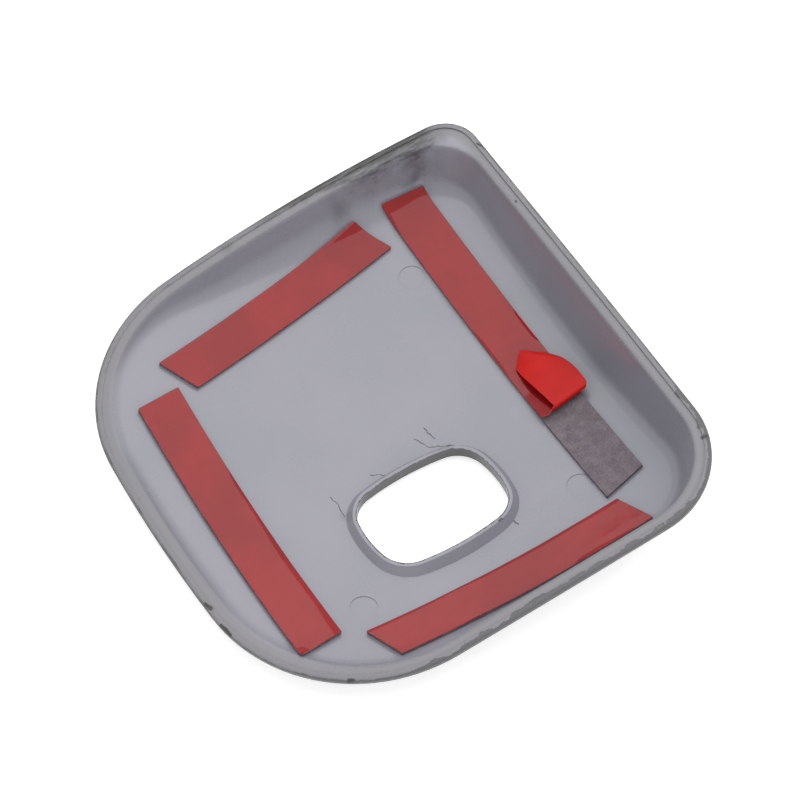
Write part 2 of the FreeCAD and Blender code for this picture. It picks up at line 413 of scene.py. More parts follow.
@dataclass(frozen=True)
class Scratch:
    """Thin dark mark between two places in plan: a hairline crack, or a chip of the lip's coat."""

    start: tuple[float, float]
    end: tuple[float, float]
    width: float


@dataclass(frozen=True)
class RimDirtAndShade:
    """Dark soiling and painted shade along the lip of the top side, wider towards the deep side."""

    start: float = -4 * MM
    full: float = 16 * MM
    end: float = 57 * MM
    narrow: float = 2.6 * MM
    wide: float = 7.5 * MM
    fade: float = 6 * MM
    side: tuple[float, float] = (40 * MM, 50 * MM)
    strength: float = 0.92

    def build(self, graph: Graph, rim: Socket, lip: Socket) -> Socket:
        """Make the mask of the soiling and painted shade.

        Args:
            graph: Graph to add the nodes to.
            rim: Place within the rim plane.
            lip: Distance in from the lip's edge.

        Returns:
            The socket of the mask, from 0 to 1.
        """
        axes = graph.node("ShaderNodeSeparateXYZ", {0: rim}).outputs
        streaks = graph.noise(graph.vector("MULTIPLY", rim, (0.25, 1.3, 1.0)).outputs[0], 620.0, 4.0, 0.7)
        cloud = graph.noise(rim, 130.0, 3.0, 0.6)
        grown = graph.smooth(axes["X"], self.full * 0.5, self.end * 0.8)
        reach = graph.math("MULTIPLY_ADD", grown, self.wide - self.narrow, self.narrow)
        reach = graph.math("MULTIPLY", reach, graph.math("MULTIPLY_ADD", cloud, 1.5, 0.25))
        near = graph.math("SUBTRACT", 1.0, graph.math("DIVIDE", lip, reach, clamp=True))
        along = graph.math("MULTIPLY", graph.smooth(axes["X"], self.start, self.full),
                           graph.smooth(axes["X"], self.end, self.end - self.fade))
        along = graph.math("MULTIPLY", along, graph.smooth(axes["Y"], *self.side))
        broken = graph.smooth(graph.math("ADD", streaks, graph.math("MULTIPLY", near, 0.35)), 0.4, 0.82)
        # Streaked band along the lip: soiling in streaks, and painted shade of the top wall.
        streaked_band = graph.math("MULTIPLY", graph.smooth(near, 0.0, 0.45), broken)
        return graph.math("MULTIPLY", graph.math("MULTIPLY", streaked_band, along), self.strength)


@dataclass(frozen=True)
class MouldedShellFinish:
    """Satin grey plastic inside, the darker coat of the front that ends in a ragged line, soiling, and painted
    shade along the top side and in the switch hole, with painted light on the lip's step.
    """

    inside: Colour = linear(142, 141, 151)
    inside_shade: Colour = linear(136, 136, 146)
    lip_tone: Colour = linear(123, 121, 125)
    # Near-white painted light for the steep wall of the lip's step.
    painted_step_light: Colour = linear(232, 230, 234)
    coat: Colour = linear(88, 87, 90)
    # The front's coat inside the switch hole, darker than on the rim: real coat with painted shade.
    hole_coat_with_painted_shade: Colour = linear(46, 44, 48)
    coat_line: Colour = linear(56, 54, 56)
    # Colour of the soiling, also used for the painted shade along the top side.
    dirt_and_shade: Colour = linear(44, 42, 43)
    lip_band: tuple[float, float] = (5.0 * MM, 3.0 * MM)
    step_outer: tuple[float, float] = (0.7 * MM, 0.9 * MM)
    step_inner: tuple[float, float] = (3.2 * MM, 2.9 * MM)
    eased_band: tuple[float, float] = (9.0 * MM, 6.0 * MM)
    eased_edge: float = 2.0 * MM
    wave_depth: float = 0.02 * MM
    grain_depth: float = 0.003 * MM
    coat_wander: float = 2.2 * MM
    coat_least: float = 0.25 * MM
    coat_growth: float = 1.3 * MM
    speck: float = 0.7 * MM
    crack_jitter: float = 1.2 * MM
    rim_dirt_and_shade: RimDirtAndShade = RimDirtAndShade()
    smudges_and_shade: tuple[SoftDarkMark, ...] = ()
    scratches: tuple[Scratch, ...] = ()

    def build(self, form: CoverForm) -> bpy.types.Material:
        """Make the finish.

        Args:
            form: Sizes of the cover.

        Returns:
            The material.
        """
        graph = Graph("moulded_shell")
        place = graph.place()
        facing = graph.node("ShaderNodeNewGeometry", {}).outputs["Normal"]
        rise = graph.dot(facing, (0.0, 0.0, 1.0))
        rim = form.rim_place(graph, place)
        lip = form.lip.depth(graph, graph.vector("MULTIPLY", rim, (1.0, 1.0, 0.0)).outputs[0])
        hole = graph.math("MULTIPLY", form.hole.depth(graph, form.hole_place(graph, place)), -1.0)
        mottle = graph.noise(place, 28.0, 5.0, 0.6)
        colour = graph.mix(graph.smooth(mottle, 0.3, 0.7), self.inside, self.inside_shade)
        on_lip = graph.smooth(lip, *self.lip_band)
        colour = graph.mix(graph.math("MULTIPLY", on_lip, 0.8), colour, self.lip_tone)
        # Painted light: where the lip's step wall stands steep, the colour is lifted towards near-white to
        # cancel the shade that falls on it.
        step = graph.math("MULTIPLY", graph.smooth(lip, *self.step_outer), graph.smooth(lip, *self.step_inner))
        step = graph.math("MULTIPLY", step, graph.smooth(rise, 0.97, 0.85))
        colour = graph.mix(graph.math("MULTIPLY", step, 0.8), colour, self.painted_step_light)
        colour = self.coated(graph, place, colour, (rim, lip, hole, rise))
        # Soiling and painted shade: smears, cracks and specks, and the dark band along the top side, which is
        # partly painted shade.
        stain_and_shade = graph.math("MAXIMUM", self.soiled_and_shaded(graph, place), self.rim_dirt_and_shade.build(graph, rim, lip))
        colour = graph.mix(stain_and_shade, colour, self.dirt_and_shade)
        grain = graph.noise(place, 5200.0, 2.0, 0.5)
        waves = graph.noise(place, 160.0, 2.0, 0.5)
        eased = graph.node("ShaderNodeBevel", {"Radius": self.eased_edge}, samples=4).outputs[0]
        near_lip = graph.smooth(lip, *self.eased_band)
        eased = graph.node("ShaderNodeMix", {0: near_lip, 4: facing, 5: eased}, data_type="VECTOR").outputs[1]
        relief = graph.bump(waves, self.wave_depth, under=eased)
        relief = graph.bump(grain, self.grain_depth, under=relief)
        rough = graph.math("MULTIPLY_ADD", mottle, 0.14, 0.2)
        shader = graph.node("ShaderNodeBsdfPrincipled", {
            "Base Color": colour, "Roughness": rough, "IOR": 1.5, "Specular IOR Level": 0.75, "Normal": relief,
        })
        return graph.finish(shader.outputs[0])

    def coated(self, graph: Graph, place: Socket, colour: Socket,
               fields: tuple[Socket, ...]) -> Socket:
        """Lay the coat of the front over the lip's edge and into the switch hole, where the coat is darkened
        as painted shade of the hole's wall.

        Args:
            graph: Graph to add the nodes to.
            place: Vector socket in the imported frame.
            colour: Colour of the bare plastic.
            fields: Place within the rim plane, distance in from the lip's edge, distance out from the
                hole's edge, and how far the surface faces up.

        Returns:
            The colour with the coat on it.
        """
        rim, lip, hole, rise = fields
        below = graph.smooth(rise, 0.05, -0.06)
        patchy = graph.noise(place, 95.0, 4.0, 0.65)
        ragged = graph.noise(place, 520.0, 4.0, 0.75)
        wander = graph.math("MULTIPLY", graph.math("SUBTRACT", ragged, 0.5), self.coat_wander)
        near_side = graph.smooth(graph.dot(rim, (0.42, -0.9, 0.0)), 28 * MM, 62 * MM)
        wide = graph.math("MULTIPLY_ADD", near_side, self.coat_growth, self.coat_least)
        reach = graph.math("MULTIPLY", graph.smooth(patchy, 0.38, 0.68), wide)
        reach = graph.math("MULTIPLY_ADD", near_side, 0.35 * MM, reach)
        line = graph.math("SUBTRACT", graph.math("SUBTRACT", lip, reach), graph.math("MULTIPLY", wander, 0.35))
        rim_coat = graph.smooth(line, 0.34 * MM, 0.2 * MM)
        rim_edge = graph.smooth(line, 0.5 * MM, 0.36 * MM)
        rim_edge = graph.math("MULTIPLY", rim_edge, graph.smooth(patchy, 0.44, 0.56))
        specks = graph.smooth(graph.noise(place, 750.0, 3.0, 0.6), 0.62, 0.74)
        hole_line = graph.math("SUBTRACT", hole, graph.math("MULTIPLY", wander, 0.55))
        hole_line = graph.math("SUBTRACT", hole_line, graph.math("MULTIPLY", specks, self.speck))
        # Coat inside the hole: its ragged line is real, its darker colour is painted shade.
        hole_coat_with_painted_shade = graph.smooth(hole_line, 0.3 * MM, 0.12 * MM)
        colour = graph.mix(graph.math("MULTIPLY", rim_edge, 0.75), colour, self.coat_line)
        colour = graph.mix(graph.math("MAXIMUM", below, rim_coat), colour, self.coat)
        return graph.mix(hole_coat_with_painted_shade, colour, self.hole_coat_with_painted_shade)

    def soiled_and_shaded(self, graph: Graph, place: Socket) -> Socket:
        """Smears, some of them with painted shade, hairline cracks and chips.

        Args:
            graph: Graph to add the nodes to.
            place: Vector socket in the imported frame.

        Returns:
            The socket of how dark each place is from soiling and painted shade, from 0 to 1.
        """
        flat = graph.vector("MULTIPLY", place, (1.0, 1.0, 0.0)).outputs[0]
        cloud = graph.smooth(graph.noise(place, 190.0, 3.0, 0.6), 0.25, 0.8)
        result = graph.math("MULTIPLY", graph.smooth(graph.noise(place, 900.0, 2.0, 0.6), 0.76, 0.84), 0.25)
        for mark in self.smudges_and_shade:
            away = graph.vector("DISTANCE", flat, (mark.x, mark.y, 0.0)).outputs["Value"]
            soft = graph.math("MULTIPLY", graph.smooth(away, mark.radius, mark.radius * 0.2), mark.strength)
            result = graph.math("MAXIMUM", result, graph.math("MULTIPLY", soft, cloud))
        jitter = graph.node("ShaderNodeTexNoise", {"Vector": place, "Scale": 600.0, "Detail": 3.0})
        swing = graph.vector("SUBTRACT", jitter.outputs["Color"], (0.5, 0.5, 0.5)).outputs[0]
        reach = (self.crack_jitter, self.crack_jitter, 0.0)
        bent = graph.vector("MULTIPLY_ADD", swing, reach, flat).outputs[0]
        for scratch in self.scratches:
            start, end = Vector(scratch.start), Vector(scratch.end)
            span = end - start
            offset = graph.vector("SUBTRACT", bent, (*start, 0.0)).outputs[0]
            share = graph.math("DIVIDE", graph.dot(offset, (*span, 0.0)), span.length_squared, clamp=True)
            nearest = graph.node("ShaderNodeVectorMath", {0: (*span, 0.0), "Scale": share}, operation="SCALE")
            away = graph.vector("DISTANCE", offset, nearest.outputs[0]).outputs["Value"]
            result = graph.math("MAXIMUM", result, graph.smooth(away, scratch.width, scratch.width * 0.35))
        return result


@dataclass(frozen=True)
class FoamFinish:
    """Matt grey closed-cell foam, speckled where its adhesive lies bare."""

    light: Colour = linear(127, 119, 124)
    dark: Colour = linear(97, 89, 95)
    cell_depth: float = 0.05 * MM

    def build(self) -> bpy.types.Material:
        """Make the finish and give the material."""
        graph = Graph("foam_tape")
        place = graph.place()
        cells = graph.noise(place, 2600.0, 3.0, 0.7)
        patches = graph.noise(place, 420.0, 3.0, 0.6)
        patches = graph.smooth(patches, 0.3, 0.75)
        share = graph.math("MULTIPLY_ADD", patches, 0.2, graph.math("MULTIPLY", cells, 0.8))
        colour = graph.mix(graph.smooth(share, 0.25, 0.75), self.dark, self.light)
        relief = graph.bump(cells, self.cell_depth)
        shader = graph.node("ShaderNodeBsdfPrincipled", {
            "Base Color": colour, "Roughness": 0.82, "IOR": 1.45, "Specular IOR Level": 0.3, "Normal": relief,
        })
        return graph.finish(shader.outputs[0])


@dataclass(frozen=True)
class FilmFinish:
    """Glossy red release film with a slow ripple, or its underside, whose brighter red is painted light."""

    red: Colour = linear(150, 24, 27)
    deep: Colour = linear(138, 19, 22)
    roughness: float = 0.08
    gloss: float = 0.38
    glow: float = 0.0
    wave_depth: float = 0.06 * MM
    grain_depth: float = 0.0015 * MM

    def build(self, name: str) -> bpy.types.Material:
        """Make the finish.

        Args:
            name: Name of the material.

        Returns:
            The material.
        """
        graph = Graph(name)
        place = graph.place()
        tone = graph.noise(place, 60.0, 3.0, 0.6)
        colour = graph.mix(graph.smooth(tone, 0.35, 0.65), self.red, self.deep)
        waves = graph.noise(place, 90.0, 2.0, 0.5, 0.6)
        grain = graph.noise(place, 1500.0, 2.0, 0.5)
        relief = graph.bump(waves, self.wave_depth)
        relief = graph.bump(grain, self.grain_depth, under=relief)
        shader = graph.node("ShaderNodeBsdfPrincipled", {
            "Base Color": colour, "Roughness": self.roughness, "IOR": 1.52, "Specular IOR Level": self.gloss,
            "Normal": relief,
        })
        if not self.glow:
            return graph.finish(shader.outputs[0])
        through = graph.node("ShaderNodeBsdfTranslucent", {"Color": colour, "Normal": relief})
        both = graph.node("ShaderNodeMixShader", {0: self.glow, 1: shader.outputs[0], 2: through.outputs[0]})
        return graph.finish(both.outputs[0])


@dataclass(frozen=True)
class FilmEdgeFinish:
    """Pale pink of the film's cut edge, where it catches the light."""

    pale: Colour = linear(196, 120, 118)
    red: Colour = linear(158, 44, 42)

    def build(self) -> bpy.types.Material:
        """Make the finish and give the material."""
        graph = Graph("film_edge")
        place = graph.place()
        broken = graph.smooth(graph.noise(place, 260.0, 3.0, 0.6), 0.4, 0.62)
        shader = graph.node("ShaderNodeBsdfPrincipled", {
            "Base Color": graph.mix(broken, self.pale, self.red), "Roughness": 0.5, "Specular IOR Level": 0.4,
        })
        return graph.finish(shader.outputs[0])


@dataclass(frozen=True)
class FloorFinish:
    """Pale floor that shows white to the camera and keeps the object's shadow."""

    colour: Colour = (0.9, 0.9, 0.9, 1.0)
    fleck: Colour = (0.92, 0.92, 0.92, 1.0)
    lift: float = 0.6

    def build(self) -> bpy.types.Material:
        """Make the finish and give the material."""
        graph = Graph("floor")
        place = graph.place()
        tone = graph.noise(place, 3.0, 2.0, 0.5)
        paper = graph.mix(graph.smooth(tone, 0.3, 0.7), self.colour, self.fleck)
        matt = graph.node("ShaderNodeBsdfDiffuse", {"Color": paper})
        path = graph.node("ShaderNodeLightPath", {})
        seen = graph.math("MAXIMUM", path.outputs["Is Camera Ray"], path.outputs["Is Glossy Ray"])
        seen = graph.math("MAXIMUM", seen, path.outputs["Is Transmission Ray"])
        glow = graph.node("ShaderNodeEmission", {
            "Color": (1.0, 1.0, 1.0, 1.0), "Strength": graph.math("MULTIPLY", seen, self.lift),
        })
        both = graph.node("ShaderNodeAddShader", {0: matt.outputs[0], 1: glow.outputs[0]})
        return graph.finish(both.outputs[0])


@dataclass(frozen=True)
class SheetFinish:
    """Finishes of a sheet's top, underside and cut edges."""

    top: bpy.types.Material
    under: bpy.types.Material
    edge: bpy.types.Material


def linked(name: str, data: bpy.types.ID) -> bpy.types.Object:
    """Make an object of some data and put it in the scene."""
    made = bpy.data.objects.new(name, data)
    bpy.context.scene.collection.objects.link(made)
    return made


def slab(name: str, low: np.ndarray, high: np.ndarray, finish: SheetFinish) -> bpy.types.Object:
    """Closed piece between two grids of points.

    Args:
        name: Name of the piece.
        low: Grid of points of the underside, rows by columns by 3.
        high: Grid of the top.
        finish: Finishes of its faces.

    Returns:
        The piece, with its rim edges sharp.
    """
    rows, columns = low.shape[:2]
    count = rows * columns
    points = np.concatenate([low.reshape(-1, 3), high.reshape(-1, 3)])
    index = np.arange(count).reshape(rows, columns)
    quads = np.stack([index[:-1, :-1], index[1:, :-1], index[1:, 1:], index[:-1, 1:]], -1).reshape(-1, 4)
    ring = np.concatenate([index[:, 0], index[-1, 1:], index[-2::-1, -1], index[0, -2:0:-1]])
    after = np.roll(ring, -1)
    edge = np.stack([ring, ring + count, after + count, after], -1)
    faces = np.concatenate([quads, quads[:, ::-1] + count, edge])
    mesh = bpy.data.meshes.new(name)
    mesh.from_pydata(points.tolist(), [], faces.tolist())
    for material in (finish.under, finish.top, finish.edge):
        mesh.materials.append(material)
    mesh.polygons.foreach_set("use_smooth", [True] * len(faces))
    slots = [0] * len(quads) + [1] * len(quads) + [2] * len(edge)
    mesh.polygons.foreach_set("material_index", slots)
    rim = {frozenset(pair) for pair in zip(ring.tolist(), after.tolist())}
    rim |= {frozenset((a + count, b + count)) for a, b in zip(ring.tolist(), after.tolist())}
    for line in mesh.edges:
        line.use_edge_sharp = frozenset(line.vertices) in rim
    mesh.update()
    if mesh_volume(points, faces) < 0:
        mesh.flip_normals()
    return linked(name, mesh)


def mesh_volume(points: np.ndarray, faces: np.ndarray) -> float:
    """Signed volume inside closed four-sided faces, negative where they face inward."""
    a, b, c, d = (points[faces[:, i]] for i in range(4))
    return float((np.cross(b, c) * a).sum() + (np.cross(c, d) * a).sum()) / 6


@dataclass(frozen=True)
class StripPlan:
    """Place and size of one tape strip on the floor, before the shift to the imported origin."""

    x: float
    y: float
    half_length: float
    width: float
    direction: float
    skew: float
    far_trim: float = 0.0

    def frame(self, form: CoverForm, run: float = 0.0) -> Matrix:
        """Frame on the strip's middle line, a run past its centre.

        Args:
            form: Sizes of the cover.
            run: Distance from the strip's centre along it.

        Returns:
            The frame, with X along the strip and Z out of the floor.
        """
        place = form.square_to_floor(self.x, self.y, self.direction)
        across = place.col[1].to_3d()
        swing = Matrix.Rotation(-run / form.dome_radius, 4, across)
        centre = Matrix.Translation(form.dome_centre)
        return centre @ swing @ centre.inverted() @ place

    def grid(self, rows: int, columns: int, end: float | None = None) -> tuple[np.ndarray, np.ndarray]:
        """Points over the strip in its own frame.

        Args:
            rows: Points along it.
            columns: Points across it.
            end: Where it stops along its length, or None for its whole length.

        Returns:
            The distances along and across, each rows by columns.
        """
        across = np.linspace(-0.5, 0.5, columns)[None, :] * self.width
        slant = -across / self.width * self.skew
        last = self.half_length - slant if end is None else np.full_like(slant, end)
        first = -self.half_length - slant + self.far_trim * (across / self.width + 0.5)
        share = np.linspace(0.0, 1.0, rows)[:, None]
        along = first * (1 - share) + last * share
        return along, np.broadcast_to(across, along.shape).copy()


class FloorProbe:
    """Surface that a strip lies on: the dome, and the rolled foot where a strip's end runs up it."""

    reach: float = 30 * MM
    slack: float = 0.04 * MM
    inset: float = 0.12 * MM
    passes: int = 2

    def __init__(self, form: CoverForm, node: bpy.types.Object) -> None:
        """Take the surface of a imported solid.

        Args:
            form: Sizes of the cover.
            node: Object of the solid.
        """
        self.form = form
        points = [node.matrix_world @ vertex.co for vertex in node.data.vertices]
        self.tree = BVHTree.FromPolygons(points, [tuple(face.vertices) for face in node.data.polygons])

    def rise(self, frame: Matrix, along: np.ndarray, across: np.ndarray, height: float) -> np.ndarray:
        """Heights of the surface over the frame's own plane.

        Args:
            frame: Frame on the floor, with Z out of it.
            along: Distances along the frame's X.
            across: Distances along its Y.
            height: Height of the surface over the floor of the hollow.

        Returns:
            The heights.
        """
        radius = self.form.dome_radius
        dome = radius - np.sqrt((radius - height) ** 2 - along ** 2 - across ** 2)
        down = -frame.col[2].to_3d()
        extra = np.zeros_like(dome)
        pull = [1 - self.inset / float(np.abs(part).max()) for part in (along, across)]
        for spot in np.ndindex(dome.shape):
            start = frame @ Vector((along[spot] * pull[0], across[spot] * pull[1], self.reach))
            hit, _, _, away = self.tree.ray_cast(start, down)
            if hit is not None:
                extra[spot] = max(0.0, self.reach - away - dome[spot] - self.slack)
        for _ in range(self.passes):
            padded = np.pad(extra, 1, mode="edge")
            extra = padded[:-2, 1:-1] + padded[2:, 1:-1] + 2 * extra
            extra = (extra + padded[1:-1, :-2] + padded[1:-1, 2:]) / 6
        return dome + extra

    def points(self, frame: Matrix, along: np.ndarray, across: np.ndarray, height: float,
               lift: np.ndarray | float = 0.0) -> np.ndarray:
        """Points on the surface, or a lift over it.

        Args:
            frame: Frame on the floor.
            along: Distances along the frame's X.
            across: Distances along its Y.
            height: Height of the surface over the floor of the hollow.
            lift: Heights over the surface.

        Returns:
            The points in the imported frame.
        """
        return placed(frame, along, across, self.rise(frame, along, across, height) + lift)


def placed(frame: Matrix, along: np.ndarray, across: np.ndarray, up: np.ndarray) -> np.ndarray:
    """Points given in a frame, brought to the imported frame.

    Args:
        frame: The frame.
        along: Distances along its X.
        across: Distances along its Y.
        up: Distances along its Z.

    Returns:
        The points, with a last axis of 3.
    """
    local = np.stack(np.broadcast_arrays(along, across, up, 1.0), -1)
    return (local @ np.array(frame).T)[..., :3]


@dataclass(frozen=True)
class Ripple:
    """Slow waves over a strip, made of a few sines with fixed seeds."""

    seed: int
    depth: float
    waves: int = 7
    shortest: float = 9 * MM
    longest: float = 34 * MM
    spread: float = 0.9

    def at(self, along: np.ndarray, across: np.ndarray) -> np.ndarray:
        """Height of the waves, from 0 to their depth.

        Args:
            along: Distances along the strip.
            across: Distances across it.

        Returns:
            The heights.
        """
        random = np.random.default_rng(self.seed)
        total = np.zeros_like(along)
        for _ in range(self.waves):
            length = random.uniform(self.shortest, self.longest)
            turn = random.uniform(-self.spread, self.spread)
            phase = random.uniform(0, 2 * math.pi)
            total += np.sin(2 * math.pi * (along * math.cos(turn) + across * math.sin(turn)) / length + phase)
        return self.depth * (0.5 + total / (2 * self.waves))


@dataclass
class FoamStrip:
    """Foam tape core that lies on the floor of the hollow."""

    side: Side
    plan: StripPlan
    thickness: float = 1.0 * MM
    rows: int = 150
    columns: int = 22
    rough_cut: float = 0.06 * MM
    sunk: float = 0.02 * MM
    pit_depth: float = 0.02 * MM
    seed: int = 11

    def build(self, floor: FloorProbe, skin: FloorProbe, finish: SheetFinish) -> bpy.types.Object:
        """Build the foam over its solid.

        Args:
            floor: Surface under the foam.
            skin: Surface of the foam's own solid.
            finish: Finishes of its faces.

        Returns:
            The piece.
        """
        along, across = self.plan.grid(self.rows, self.columns)
        frame = self.plan.frame(floor.form)
        random = np.random.default_rng(self.seed + len(self.side.value))
        pits = random.uniform(-1, 0, along.shape) * self.pit_depth
        low = floor.points(frame, along, across, 0.0, -self.sunk)
        shrink = 1 - self.rough_cut * random.uniform(0, 1, along.shape) / (self.plan.width / 2)
        high = skin.points(frame, along, across * shrink, self.thickness, pits)
        piece = slab("tape_foam_" + self.side.value, low, high, finish)
        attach(piece, "root")
        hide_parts("foam_" + self.side.value)
        return piece


@dataclass
class ReleaseFilm:
    """Red film that lies on a foam strip."""

    side: Side
    plan: StripPlan
    base: float = 1.0 * MM
    thickness: float = 0.15 * MM
    rows: int = 170
    columns: int = 30
    seed: int = 3
    wave: float = 0.1 * MM
    rolled_edge: float = 0.26 * MM
    roll_width: float = 2.4 * MM
    gap: float = 0.01 * MM
    lift_fade: float = 4 * MM

    def build(self, skin: FloorProbe, finish: SheetFinish) -> bpy.types.Object:
        """Build the film over its solid.

        Args:
            skin: Surface of the foam under the film.
            finish: Finishes of its faces.

        Returns:
            The piece.
        """
        low, high = self.laid(skin, None)
        return self.joined(low, high, finish)

    def laid(self, skin: FloorProbe, end: float | None) -> tuple[np.ndarray, np.ndarray]:
        """Underside and top of the film where it lies on the foam.

        Args:
            skin: Surface of the foam under the film.
            end: Where it stops along the strip, or None for the strip's whole length.

        Returns:
            The two grids of points.
        """
        along, across = self.plan.grid(self.rows, self.columns, end)
        surface = skin.rise(self.plan.frame(skin.form), along, across, self.base)
        waves = Ripple(self.seed, self.wave).at(along, across)
        turned_down = across * (1 if self.side in (Side.LEFT, Side.RIGHT) else -1) > 0
        reach = self.roll_width * np.where(turned_down, 1.0, 0.35)
        edge = np.clip((np.abs(across) - self.plan.width / 2 + reach) / reach, 0, 1) ** 2
        share = Ripple(self.seed + 40, 1.0, 5, 14 * MM, 40 * MM).at(along, across * 0)
        roll = self.rolled_edge * edge * np.clip(share * 1.6 - 0.2, 0, 1) * np.where(turned_down, 1.0, 0.4)
        swell = self.rolled_edge * 0.5 + self.gap + waves * (1 - edge) - roll
        if end is not None:
            swell = swell * np.clip((end - along) / self.lift_fade, 0, 1)
        frame = self.plan.frame(skin.form)
        high = placed(frame, along, across, surface + self.thickness + swell)
        return placed(frame, along, across, surface + self.gap), high

    def joined(self, low: np.ndarray, high: np.ndarray, finish: SheetFinish) -> bpy.types.Object:
        """Make the piece from its underside and top, and tie it to its solid."""
        piece = slab("tape_film_" + self.side.value, low, high, finish)
        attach(piece, "root")
        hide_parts("liner_" + self.side.value)
        return piece


@dataclass
class PeeledFilm(ReleaseFilm):
    """Red film whose near end is peeled off the foam and folded back over itself."""

    rolled_edge: float = 0.44 * MM
    roll_width: float = 2.8 * MM
    start: float = 13.5 * MM
    lift_angle: float = math.radians(7)
    lift_radius: float = 14.0 * MM
    run: float = 7.8 * MM
    curl_radius: float = 0.9 * MM
    flap: float = 18.7 * MM
    sag_radius: float = 75.0 * MM
    rise_angle: float = math.radians(3)
    fold_slant: float = 0.06
    pinch: float = 0.14
    side_step: float = 3.0 * MM
    bulge: float = 0.9 * MM
    tip_across: float = -1.0 * MM
    tip_slope: float = 0.85
    crumple_depth: float = 1.5 * MM
    path_step: float = 0.35 * MM

    def legs(self) -> list[tuple[float, float]]:
        """Length and bend of each leg of the lifted run."""
        return [
            (self.lift_angle * self.lift_radius, 1 / self.lift_radius),
            (self.run, 0.0),
            ((math.pi - self.lift_angle - self.rise_angle) * self.curl_radius, 1 / self.curl_radius),
            (self.flap, 1 / self.sag_radius),
        ]

    def path(self) -> np.ndarray:
        """Middle line of the lifted run: along, up, heading, turned share and flap share of each point."""
        along, up, heading = 0.0, 0.0, 0.0
        points = []
        for number, (length, bend) in enumerate(self.legs()):
            steps = max(4, int(length / self.path_step))
            for step in range(steps):
                heading += bend * length / steps / 2
                along += math.cos(heading) * length / steps
                up += math.sin(heading) * length / steps
                heading += bend * length / steps / 2
                share = (step + 1) / steps
                turned = (0.0, 0.0, share, 1.0)[number]
                points.append((along, up, heading, turned, share if number == 3 else 0.0))
        return np.array(points)

    def build(self, skin: FloorProbe, finish: SheetFinish) -> bpy.types.Object:
        """Build the film with its lifted end.

        Args:
            skin: Surface of the foam under the film.
            finish: Finishes of its faces.

        Returns:
            The piece.
        """
        low, high = self.laid(skin, self.start)
        low = np.concatenate([low, self.lifted(skin.form, 0.0)])
        high = np.concatenate([high, self.lifted(skin.form, self.thickness)])
        return self.joined(low, high, finish)

    def lifted(self, form: CoverForm, lift: float) -> np.ndarray:
        """Points of the run that is off the foam.

        Args:
            form: Sizes of the cover.
            lift: Height of this face over the film's underside.

        Returns:
            The points, rows by columns by 3.
        """
        path = self.path()
        fold = path[path[:, 4] == 0][-1]
        own = np.linspace(-0.5, 0.5, self.columns)[None, :] * self.plan.width
        along, up, heading, turned, flap = (path[:, i:i + 1] for i in range(5))
        cut = self.tip_slope * (np.sqrt((own - self.tip_across) ** 2 + MM ** 2) - MM)
        along = np.where(flap > 0, fold[0] + (along - fold[0]) * (1 - cut / self.flap), along + 0 * own)
        slant = np.clip(along / fold[0], 0, 1) * (turned < 1) + (turned >= 1) * (1 - flap * 0.6)
        along = along - self.fold_slant * own * slant
        side = own * (1 - self.pinch * turned) + self.side_step * turned * (1 - 0.65 * flap)
        side = side + self.bulge * np.sin(math.pi * flap) * (own > 0)
        side = side - np.clip(flap - 0.75, 0, 1) * own * 0.4
        folds = Ripple(self.seed + 4, self.crumple_depth, 9, 3.5 * MM, 10 * MM).at(along, own)
        ridge = np.clip(flap - 0.55, 0, 1) / 0.45 * np.clip(0.65 - own / self.plan.width, 0, 1)
        wave = (folds - self.crumple_depth * 0.35) * ridge ** 1.3
        bow = (along ** 2 + own ** 2) / (2 * form.dome_radius)
        local_up = self.base + self.gap + up + bow + np.cos(heading) * (lift + wave)
        local_along = along - np.sin(heading) * (lift + wave)
        return placed(self.plan.frame(form, self.start), local_along, side, local_up)


@dataclass
class CoverShell:
    """The moulded cover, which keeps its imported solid."""

    form: CoverForm
    finish: MouldedShellFinish

    def dress(self, node: bpy.types.Object) -> bpy.types.Object:
        """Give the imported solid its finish.

        Args:
            node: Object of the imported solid.

        Returns:
            The same object.
        """
        node.data.materials.clear()
        node.data.materials.append(self.finish.build(self.form))
        return node


@dataclass
class TapeSet:
    """The four foam strips and their films."""

    form: CoverForm
    plans: dict[Side, StripPlan]
    peeled: Side = Side.RIGHT
    pieces: list[bpy.types.Object] = field(default_factory=list)

    def build(self, nodes: dict[str, bpy.types.Object]) -> list[bpy.types.Object]:
        """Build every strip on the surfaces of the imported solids.

        Args:
            nodes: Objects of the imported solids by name.

        Returns:
            The pieces.
        """
        foam = FoamFinish().build()
        foam_faces = SheetFinish(foam, foam, foam)
        # Painted light: the underside's red is far brighter than the top's, standing for light falling through
        # the folded flap; its lower gloss is its own.
        underside = FilmFinish(red=linear(222, 34, 28), deep=linear(208, 28, 24), roughness=0.3, gloss=0.2,
                               glow=0.25)
        film_faces = SheetFinish(FilmFinish().build("release_film"), underside.build("film_underside_painted_light"),
                                 FilmEdgeFinish().build())
        floor = FloorProbe(self.form, nodes["cover_shell"])
        for number, (side, plan) in enumerate(self.plans.items()):
            skin = FloorProbe(self.form, nodes["foam_" + side.value])
            self.pieces.append(FoamStrip(side, plan).build(floor, skin, foam_faces))
            kind = PeeledFilm if side is self.peeled else ReleaseFilm
            self.pieces.append(kind(side, plan, seed=21 + number).build(skin, film_faces))
        return self.pieces


@dataclass(frozen=True)
class SoftLight:
    """Square lamp that looks at the cover."""

    name: str
    place: tuple[float, float, float]
    size: float
    watts: float
    colour: tuple[float, float, float] = (1.0, 1.0, 1.0)

    def build(self, target: Vector) -> bpy.types.Object:
        """Hang the lamp.

        Args:
            target: Place that it looks at.

        Returns:
            The lamp's object.
        """
        data = bpy.data.lights.new(self.name, "AREA")
        data.shape = "SQUARE"
        data.size = self.size
        data.energy = self.watts
        data.color = self.colour
        lamp = linked(self.name, data)
        lamp.location = self.place
        lamp.rotation_euler = (target - lamp.location).to_track_quat("-Z", "Y").to_euler()
        return lamp


